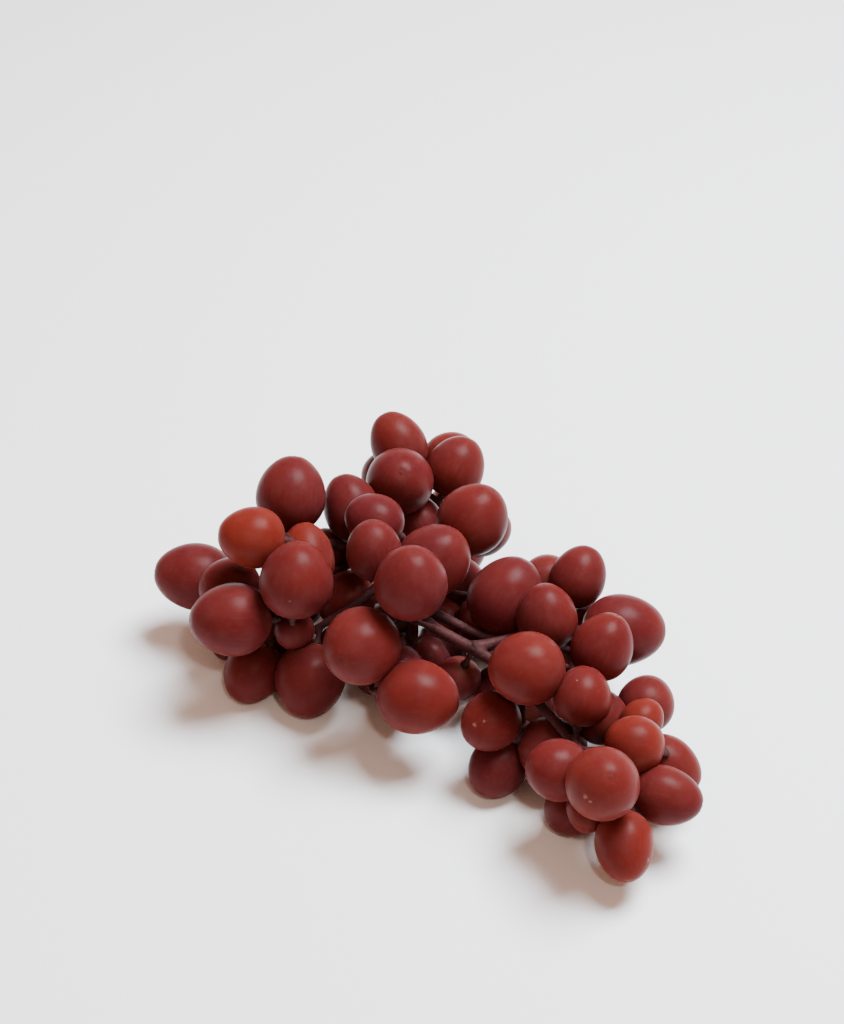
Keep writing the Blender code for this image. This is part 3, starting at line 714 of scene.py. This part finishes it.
def cut_face(tree, place, bark):
    """The bark's colour, with a tan cut face at the stalk's end, paler in its pith."""
    end, inside = placed(bunch.rachis[:2])
    outward = Vector(end - inside).normalized()
    from_end = add(tree, "ShaderNodeVectorMath", {0: place, 1: tuple(end)}, operation="SUBTRACT").outputs[0]
    height = add(tree, "ShaderNodeVectorMath", {0: from_end, 1: outward}, operation="DOT_PRODUCT")
    on_cut = ranged(tree, height.outputs["Value"], -CUT_DEPTH, 0)
    away = add(tree, "ShaderNodeVectorMath", {0: from_end}, operation="LENGTH").outputs["Value"]
    pith, wood = np.array(PITH_EDGE) * RACHIS_RADIUS[0] * MM
    face = mix(tree, ranged(tree, away, pith, wood), CUT_PITH, CUT_WOOD)
    return mix(tree, on_cut, bark, face)


def bark_material():
    """Dusky plum wood: darker in patches, with dry tan streaks, small corky dots and a pale cut end."""
    material = bpy.data.materials.new("stalk_bark")
    material.use_nodes = True
    tree = material.node_tree
    shader = tree.nodes["Principled BSDF"]
    place = add(tree, "ShaderNodeTexCoord").outputs["Object"]
    patches = noise_at(tree, place, *BARK_PATCHES)
    streaks = noise_at(tree, place, *BARK_STREAKS)
    corks = add(tree, "ShaderNodeTexVoronoi", {"Vector": place, "Scale": CORK_SCALE, "Randomness": 1.0})
    tone = add(tree, "ShaderNodeValToRGB", {"Fac": patches})
    turns = zip(tone.color_ramp.elements, PLUM_PATCHES, (STALK_DARK, STALK_PLUM))
    for element, position, colour in turns:
        element.position = position
        element.color = colour
    bark = mix(tree, ranged(tree, streaks, *DRY_STREAKS), tone.outputs["Color"], STALK_DRY)
    dots = ranged(tree, corks.outputs["Distance"], *CORK_DOTS)
    bark = mix(tree, dots, bark, STALK_DRY)
    tree.links.new(cut_face(tree, place, bark), shader.inputs["Base Color"])
    shader.inputs["Specular IOR Level"].default_value = BARK_SHEEN
    tree.links.new(ranged(tree, patches, 0, 1, *BARK_ROUGHNESS), shader.inputs["Roughness"])
    bump = add(tree, "ShaderNodeBump", {"Height": sum_of(tree, streaks, dots), **BARK_RELIEF})
    tree.links.new(bump.outputs[0], shader.inputs["Normal"])
    return material


stalk = linked("stalk", thread_mesh(stalk_threads()))
grow(stalk, rod_tree(), {"Sides": ROD_SIDES, "Steps": ROD_STEPS, "Bark": bark_material()})
joined = stalk.modifiers.new("One skin", "REMESH")
joined.mode = "VOXEL"
joined.voxel_size = GRAIN_SIZE
joined.use_smooth_shade = True
softened = stalk.modifiers.new("Rounded joints", "SMOOTH")
softened.factor, softened.iterations = ROUNDING
keep_result(stalk)
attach(stalk, "root")
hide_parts("stem")


# The berries
# Each berry is an egg of taut skin over clear flesh, pressed against its neighbours, dimpled at its stalk and
# scarred at its blossom end. Its skin is plum to orange red under a dusty bloom, rubbed off where touched,
# and on the low berries in shade the red is raised as painted light.

EGG_SIDES = 56
EGG_RINGS = 44
RING_CROWD = 0.3  # how much closer the rings lie at the two ends
DIMPLE = (0.055, 0.16)  # the stalk's dimple: its depth and how far out it reaches, in berry radii
SCAR = (0.016, 0.05)  # the blossom scar's button
SCAR_DISH = (0.02, 0.13)  # and the dish that it stands in
DENT_DEPTH = 0.0002
DENT_SPREAD = 0.011
GOLDEN_TURN = 2.4  # in radians, from one berry to the next, so that no two show the same side
BLUSH_COLOURS = [
    (0.0, (0.046, 0.0052, 0.0110)),
    (0.35, (0.072, 0.0072, 0.0082)),
    (0.6, (0.094, 0.0092, 0.0074)),
    (0.82, (0.125, 0.0120, 0.0066)),
    (1.0, (0.17, 0.020, 0.008)),
]
BLOOM_COLOUR = (0.125, 0.050, 0.048, 1.0)
SCAR_COLOUR = (0.035, 0.012, 0.008, 1.0)
STALK_END_COLOUR = (0.10, 0.028, 0.012, 1.0)
FLECK_COLOUR = (0.16, 0.06, 0.045, 1.0)
SCUFF_COLOUR = (0.20, 0.11, 0.085, 1.0)
STREAK_SCALE = (9.0, 9.0, 1.1)  # the streaks run from pole to pole
STREAK_NOISE = (1.0, 3.0, 0.6)
STREAK_COVER = (0.52, 0.75, 0.0, 0.10)  # where its noise starts and ends, and its share at both
RIPE_NOISE = (75.0, 3.0)
RIPE_PATCHES = (0.3, 0.7, -0.12, 0.12)
STALK_END_COVER = (-0.78, -0.97, 0.0, 0.45)  # by the height along the egg, from -1 to 1
SCAR_COVER = (0.985, 0.994, 0.0, 0.6)
PORE_SCALE = 700.0
PORE_COVER = (0.16, 0.07, 0.0, 0.15)
FILM_NOISE = (210.0, 6.0, 0.62)  # the dusty bloom, where nothing has rubbed it off
FILM_COVER = (0.3, 0.72)
WIPED_NOISE = (48.0, 2.0)
WIPED_COVER = (0.35, 0.62, 0.45, 1.0)
BLOOM_COVER = (0.02, 0.19)
RAGGED_NOISE = (1500.0, 3.0)  # of the scuffs' edges
RAGGED_EDGE = (0.3, 0.7, 0.6, 1.5)
SCUFF_CORE = 0.4  # share of its radius in which a scuff is strongest
SCUFF_STRENGTH = 0.75
SKIN_ROUGHNESS = (0.30, 0.42)  # of bare skin, and under the thickest bloom
SCAR_ROUGHNESS = 0.3  # added where the scar is
PITTING_NOISE = (1400.0, 2.0)
FILM_RELIEF = 0.6  # the bloom's share in the relief
SKIN_RELIEF = {"Strength": 0.25, "Distance": 0.0001}
FLESH_LIGHT = {
    "Subsurface Weight": 0.7,
    "Subsurface Radius": (1.0, 0.40, 0.30),
    "Subsurface Scale": 0.006,
    "IOR": 1.125,
}

# How red each berry has ripened, from 0, plum, to 1, orange red, in the order of its cluster; on the low
# berries that lie in shade (left_low 0 to 2, middle 5, tip_left 0, tip_front 1, crown_low 5 and 6) it is
# raised past their ripeness as painted light, to lighten them
BLUSH_AND_PAINTED_LIGHT = {
    "berries_left_top": (0.38, 0.80, 0.70, 0.44, 0.4, 0.4),
    "berries_left_side": (0.42, 0.44, 0.40, 0.3, 0.3),
    "berries_left_low": (0.44, 0.46, 0.42, 0.3, 0.3),
    "berries_crown_back": (0.46, 0.40, 0.52, 0.60, 0.36, 0.42, 0.38),
    "berries_crown_low": (0.3, 0.45, 0.35, 0.3, 0.3, 0.5, 0.5),
    "berries_crown_front": (0.48, 0.50, 0.32, 0.34, 0.38, 0.40),
    "berries_middle": (0.50, 0.58, 0.20, 0.38, 0.30, 0.58, 0.3, 0.3, 0.3, 0.3, 0.3),
    "berries_right_top": (0.38, 0.48, 0.46, 0.44),
    "berries_right_side": (0.40, 0.44, 0.58, 0.50, 0.4, 0.4, 0.3),
    "berries_tip_right": (0.42, 0.72, 0.72, 0.54, 0.44, 0.4, 0.4),
    "berries_tip_front": (0.62, 0.66, 0.40, 0.52, 0.42, 0.4),
    "berries_tip_left": (0.52, 0.30, 0.44, 0.66, 0.4, 0.3),
}


class Scuff(NamedTuple):
    """A small pale scuff: where it shows in the reference view, its berry, and its radius in millimetres."""

    seen_x: float
    seen_y: float
    cluster: str
    berry: int
    radius: float


SCUFFS = [
    Scuff(290, 601, "berries_left_top", 3, 0.45),
    Scuff(648, 860, "berries_tip_front", 1, 0.75),
    Scuff(588, 756, "berries_tip_front", 0, 0.4),
    Scuff(590, 802, "berries_tip_front", 0, 0.55),
    Scuff(585, 797, "berries_tip_front", 0, 0.8),
    Scuff(475, 725, "berries_tip_left", 0, 0.7),
    Scuff(484, 721, "berries_tip_left", 0, 0.5),
    Scuff(577, 680, "berries_right_side", 3, 0.4),
    Scuff(533, 751, "berries_tip_front", 4, 0.5),
]


def egg_mesh():
    """A berry of radius 1, its stalk end down, with closed poles. Its points keep their place in "egg"."""
    steps = np.arange(1, EGG_RINGS) / EGG_RINGS
    polar = math.pi * steps - RING_CROWD * np.sin(2 * math.pi * steps)
    lean = -np.cos(polar)
    out = np.sin(polar) * (1 - EGG * lean)
    dimple = DIMPLE[0] * np.exp(-((out / DIMPLE[1]) ** 2)) * (lean < 0)
    scar = SCAR[0] * np.exp(-((out / SCAR[1]) ** 2)) - SCAR_DISH[0] * np.exp(-((out / SCAR_DISH[1]) ** 2))
    up = lean + dimple + scar * (lean > 0)
    angles = np.arange(EGG_SIDES) * 2 * math.pi / EGG_SIDES
    points = [(0, 0, -1 + DIMPLE[0])]
    points += [(r * math.cos(a), r * math.sin(a), z) for r, z in zip(out, up) for a in angles]
    points.append((0, 0, 1 + SCAR[0] - SCAR_DISH[0]))
    last = len(points) - 1
    top = last - EGG_SIDES
    faces = []
    for j in range(EGG_SIDES):
        turn = (j + 1) % EGG_SIDES
        faces.append((0, 1 + turn, 1 + j))
        faces.append((last, top + j, top + turn))
        for low in range(1, top, EGG_SIDES):
            faces.append((low + j, low + turn, low + EGG_SIDES + turn, low + EGG_SIDES + j))
    mesh = bpy.data.meshes.new("egg")
    mesh.from_pydata(points, [], faces)
    mesh.shade_smooth()
    mesh.attributes.new("egg", "FLOAT_VECTOR", "POINT").data.foreach_set("vector", np.array(points).ravel())
    return mesh


def berry_tree():
    """Sets an egg on every point, at its size and turn, dents it a little and flattens it on the table."""
    sizes = {"Egg": "Object", "Dent depth": "Float", "Dent spread": "Float", "Skin": "Material"}
    tree, given = new_tree("Berries on their stalks", sizes)
    egg = add(tree, "GeometryNodeObjectInfo", {"Object": given["Egg"]})
    tip_way = {"Vector": attribute(tree, "tip", "FLOAT_VECTOR")}
    tip = add(tree, "FunctionNodeAlignRotationToVector", tip_way, axis="Z")
    spin = add(tree, "FunctionNodeAxisAngleToRotation", {"Axis": (0, 0, 1), "Angle": attribute(tree, "spin")})
    turn = add(
        tree,
        "FunctionNodeRotateRotation",
        {"Rotation": tip.outputs[0], "Rotate By": spin.outputs[0]},
        rotation_space="LOCAL",
    )
    berries = add(
        tree,
        "GeometryNodeInstanceOnPoints",
        {
            "Points": given["Shape"],
            "Instance": egg.outputs["Geometry"],
            "Rotation": turn.outputs[0],
            "Scale": attribute(tree, "size", "FLOAT_VECTOR"),
        },
    )
    real = add(tree, "GeometryNodeRealizeInstances", {"Geometry": berries.outputs[0]})

    place = add(tree, "GeometryNodeInputPosition").outputs[0]
    noise = noise_at(tree, place, sum_of(tree, 1.0, given["Dent spread"], "DIVIDE"), 1.0)
    depth = sum_of(tree, ranged(tree, noise, 0, 1, -1, 1), given["Dent depth"], "MULTIPLY")
    normal = add(tree, "GeometryNodeInputNormal").outputs[0]
    offset = add(tree, "ShaderNodeVectorMath", {0: normal, "Scale": depth}, operation="SCALE")
    dented = add(tree, "GeometryNodeSetPosition", {"Geometry": real.outputs[0], "Offset": offset.outputs[0]})

    above = add(tree, "ShaderNodeVectorMath", {0: place, 1: (-1.0, -1.0, 0.0)}, operation="MAXIMUM")
    resting = add(
        tree, "GeometryNodeSetPosition", {"Geometry": dented.outputs[0], "Position": above.outputs[0]}
    )
    dressed = {"Geometry": resting.outputs[0], "Material": given["Skin"]}
    skinned = add(tree, "GeometryNodeSetMaterial", dressed)
    add(tree, "NodeGroupOutput", {"Shape": skinned.outputs[0]})
    return tree


def berry_points(cluster):
    """A point for each berry of a cluster, with its size, turn and looks."""
    who = bunch.members(cluster)
    mesh = bpy.data.meshes.new(bunch.names[cluster])
    mesh.from_pydata(placed(bunch.centre[who]), [], [])
    size = np.stack([bunch.short[who], bunch.short[who], bunch.long[who]], axis=1) * MM
    tip = turned(bunch.axis[who]) / MM
    for name, values in (("size", size), ("tip", tip)):
        mesh.attributes.new(name, "FLOAT_VECTOR", "POINT").data.foreach_set("vector", values.ravel())
    # each berry's ripeness value, raised as painted light on the low berries that lie in shade
    looks = {"spin": GOLDEN_TURN * who, "blush_and_painted_light": BLUSH_AND_PAINTED_LIGHT[bunch.names[cluster]]}
    for name, values in looks.items():
        mesh.attributes.new(name, "FLOAT", "POINT").data.foreach_set("value", values)
    return mesh


def scuff_places():
    """Each scuff's place on the skin of its berry, and its radius, in metres."""
    places = []
    for scuff in SCUFFS:
        i = bunch.members(bunch.names.index(scuff.cluster))[scuff.berry]
        near = seen_at(scuff.seen_x, scuff.seen_y, bunch.centre[i][2])
        sight = unit(near - EYE)
        near = near + sight * ((bunch.centre[i] - near) @ sight)
        off = np.linalg.norm(near - bunch.centre[i])
        skin = near - sight * math.sqrt(max(bunch.short[i] ** 2 - off**2, 0))
        places.append((tuple(placed(skin)), scuff.radius * MM))
    return places


def skin_material():
    """Grape skin: a ripe red that differs by berry and patch and is raised as painted light on the low
    berries in shade, streaks, flecks, bloom and marks at both ends.
    """
    material = bpy.data.materials.new("grape_skin")
    material.use_nodes = True
    tree = material.node_tree
    shader = tree.nodes["Principled BSDF"]
    place = add(tree, "ShaderNodeTexCoord").outputs["Object"]
    egg = add(tree, "ShaderNodeAttribute", attribute_name="egg").outputs["Vector"]
    # the ripeness value of each berry, raised as painted light on the low berries that lie in shade
    blush_and_painted_light = add(tree, "ShaderNodeAttribute", attribute_name="blush_and_painted_light").outputs["Fac"]

    patches = ranged(tree, noise_at(tree, place, *RIPE_NOISE), *RIPE_PATCHES)
    ripe = sum_of(tree, blush_and_painted_light, patches)
    colours = add(tree, "ShaderNodeValToRGB", {"Fac": ripe})
    ramp = colours.color_ramp
    while len(ramp.elements) < len(BLUSH_COLOURS):
        ramp.elements.new(0.5)
    for element, (position, colour) in zip(ramp.elements, BLUSH_COLOURS):
        element.position = position
        element.color = (*colour, 1.0)
    skin = colours.outputs["Color"]

    stretched = add(tree, "ShaderNodeVectorMath", {0: egg, 1: STREAK_SCALE}, operation="MULTIPLY").outputs[0]
    streaks = ranged(tree, noise_at(tree, stretched, *STREAK_NOISE), *STREAK_COVER)
    skin = mix(tree, streaks, skin, FLECK_COLOUR)

    height = add(tree, "ShaderNodeSeparateXYZ", {"Vector": egg}).outputs["Z"]
    skin = mix(tree, ranged(tree, height, *STALK_END_COVER), skin, STALK_END_COLOUR)

    pores = add(tree, "ShaderNodeTexVoronoi", {"Vector": place, "Scale": PORE_SCALE}).outputs["Distance"]
    flecks = ranged(tree, pores, *PORE_COVER)
    skin = mix(tree, flecks, skin, FLECK_COLOUR)

    film = ranged(tree, noise_at(tree, place, *FILM_NOISE), *FILM_COVER)
    wiped = ranged(tree, noise_at(tree, place, *WIPED_NOISE), *WIPED_COVER)
    dust = sum_of(tree, film, wiped, "MULTIPLY")
    skin = mix(tree, ranged(tree, dust, 0, 1, *BLOOM_COVER), skin, BLOOM_COLOUR)

    scar = ranged(tree, height, *SCAR_COVER)
    skin = mix(tree, scar, skin, SCAR_COLOUR)
    ragged = ranged(tree, noise_at(tree, place, *RAGGED_NOISE), *RAGGED_EDGE)
    for spot, radius in scuff_places():
        away = add(tree, "ShaderNodeVectorMath", {0: place, 1: spot}, operation="DISTANCE").outputs["Value"]
        away = sum_of(tree, away, ragged, "MULTIPLY")
        rubbed = ranged(tree, away, radius, radius * SCUFF_CORE, 0.0, SCUFF_STRENGTH)
        skin = mix(tree, rubbed, skin, SCUFF_COLOUR)
    tree.links.new(skin, shader.inputs["Base Color"])

    rough = ranged(tree, dust, 0, 1, *SKIN_ROUGHNESS)
    rough = sum_of(tree, rough, ranged(tree, scar, 0, 1, 0, SCAR_ROUGHNESS))
    tree.links.new(rough, shader.inputs["Roughness"])
    pitting = noise_at(tree, place, *PITTING_NOISE)
    grain = sum_of(tree, pitting, sum_of(tree, film, FILM_RELIEF, "MULTIPLY"))
    bump = add(tree, "ShaderNodeBump", {"Height": grain, **SKIN_RELIEF})
    tree.links.new(bump.outputs[0], shader.inputs["Normal"])
    for name, value in FLESH_LIGHT.items():
        shader.inputs[name].default_value = value
    return material


egg = linked("egg", egg_mesh())
tree = berry_tree()
skin = skin_material()
for cluster, name in enumerate(bunch.names):
    berries = linked("fresh_" + name, berry_points(cluster))
    grow(berries, tree, {"Egg": egg, "Dent depth": DENT_DEPTH, "Dent spread": DENT_SPREAD, "Skin": skin})
    keep_result(berries)
    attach(berries, "root")
    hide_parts(name)
bpy.data.objects.remove(egg)


# The paper, the light and the camera
# A pale sheet lies under the bunch and curves up behind. The main soft light hangs overhead to the right,
# a small one hangs above the camera, and the room sends back a dim warm light.

PAPER_COLOUR = (0.89, 0.93, 0.97, 1.0)
PAPER_WIDTH = 2.6
PAPER_FRONT = 1.6
PAPER_BACK = 1.1
PAPER_CURVE = 0.3
PAPER_CURVE_STEPS = 12
PAPER_RISE = 0.5
PAPER_FIBRES = (900.0, 4.0)
PAPER_RELIEF = {"Strength": 0.1, "Distance": 0.0001}
PAPER_ROUGHNESS = 0.85
MAIN_PLACE = (0.34, 0.18, 0.96)  # right, away and up in the view, in metres
MAIN_SIZE = 0.5
MAIN_POWER = 39.0
MAIN_COLOUR = (0.92, 0.97, 1.0)
FRONT_PLACE = (0.10, -0.55, 0.72)
FRONT_SIZE = 0.055
FRONT_POWER = 1.9
FRONT_COLOUR = (1.0, 0.80, 0.66)
ROOM_LIGHT = (1.0, 0.55, 0.37, 1.0)
ROOM_STRENGTH = 0.58
LAMP_AIM = 0.02  # how high above the table the lamps point


def view_to_part(x, y, z):
    """A place in the view's axes, in metres, in the part's own."""
    return Vector(turned(np.array([x, y, z]) / MM))


def paper_mesh():
    """A sheet that runs flat under the bunch and then curves up behind it."""
    profile = [(-PAPER_FRONT, 0.0), (PAPER_BACK, 0.0)]
    for step in range(1, PAPER_CURVE_STEPS + 1):
        angle = math.pi / 2 * step / PAPER_CURVE_STEPS
        profile.append((PAPER_BACK + PAPER_CURVE * math.sin(angle), PAPER_CURVE * (1 - math.cos(angle))))
    profile.append((PAPER_BACK + PAPER_CURVE, PAPER_RISE))
    points = [view_to_part(x * PAPER_WIDTH / 2, y, z) for y, z in profile for x in (-1, 1)]
    faces = [(2 * k, 2 * k + 1, 2 * k + 3, 2 * k + 2) for k in range(len(profile) - 1)]
    mesh = bpy.data.meshes.new("paper")
    mesh.from_pydata(points, [], faces)
    mesh.shade_smooth()
    return mesh


def paper_material():
    """Matte white paper, with the faint relief of its fibres."""
    material = bpy.data.materials.new("matte_paper")
    material.use_nodes = True
    tree = material.node_tree
    shader = tree.nodes["Principled BSDF"]
    place = add(tree, "ShaderNodeTexCoord").outputs["Object"]
    fibres = noise_at(tree, place, *PAPER_FIBRES)
    bump = add(tree, "ShaderNodeBump", {"Height": fibres, **PAPER_RELIEF})
    tree.links.new(bump.outputs[0], shader.inputs["Normal"])
    shader.inputs["Base Color"].default_value = PAPER_COLOUR
    shader.inputs["Roughness"].default_value = PAPER_ROUGHNESS
    return material


def soft_light(name, size, power, colour, place):
    """A square light that faces the middle of the bunch."""
    data = bpy.data.lights.new(name, "AREA")
    data.size = size
    data.energy = power
    data.color = colour
    lamp = linked(name, data)
    lamp.location = place
    aim = Vector((0, 0, LAMP_AIM)) - lamp.location
    lamp.rotation_euler = aim.to_track_quat("-Z", "Y").to_euler()
    return lamp


paper = linked("paper", paper_mesh())
paper.data.materials.append(paper_material())

soft_light("main_light", MAIN_SIZE, MAIN_POWER, MAIN_COLOUR, view_to_part(*MAIN_PLACE))
soft_light("front_light", FRONT_SIZE, FRONT_POWER, FRONT_COLOUR, view_to_part(*FRONT_PLACE))

world = bpy.data.worlds.new("room")
world.use_nodes = True
world.node_tree.nodes["Background"].inputs["Color"].default_value = ROOM_LIGHT
world.node_tree.nodes["Background"].inputs["Strength"].default_value = ROOM_STRENGTH
bpy.context.scene.world = world

SENSOR = 36.0  # the height of the camera's picture, in millimetres
camera = linked("camera", bpy.data.cameras.new("camera"))
camera.data.sensor_width = SENSOR
camera.data.lens = FOCAL_LENGTH_PX * SENSOR / FRAME_HEIGHT_PX
camera.location = Vector(placed(EYE))
camera.rotation_euler = (math.radians(90 - EYE_PITCH_DEG), 0.0, math.radians(BUNCH_TURN_DEG))
bpy.context.scene.camera = camera
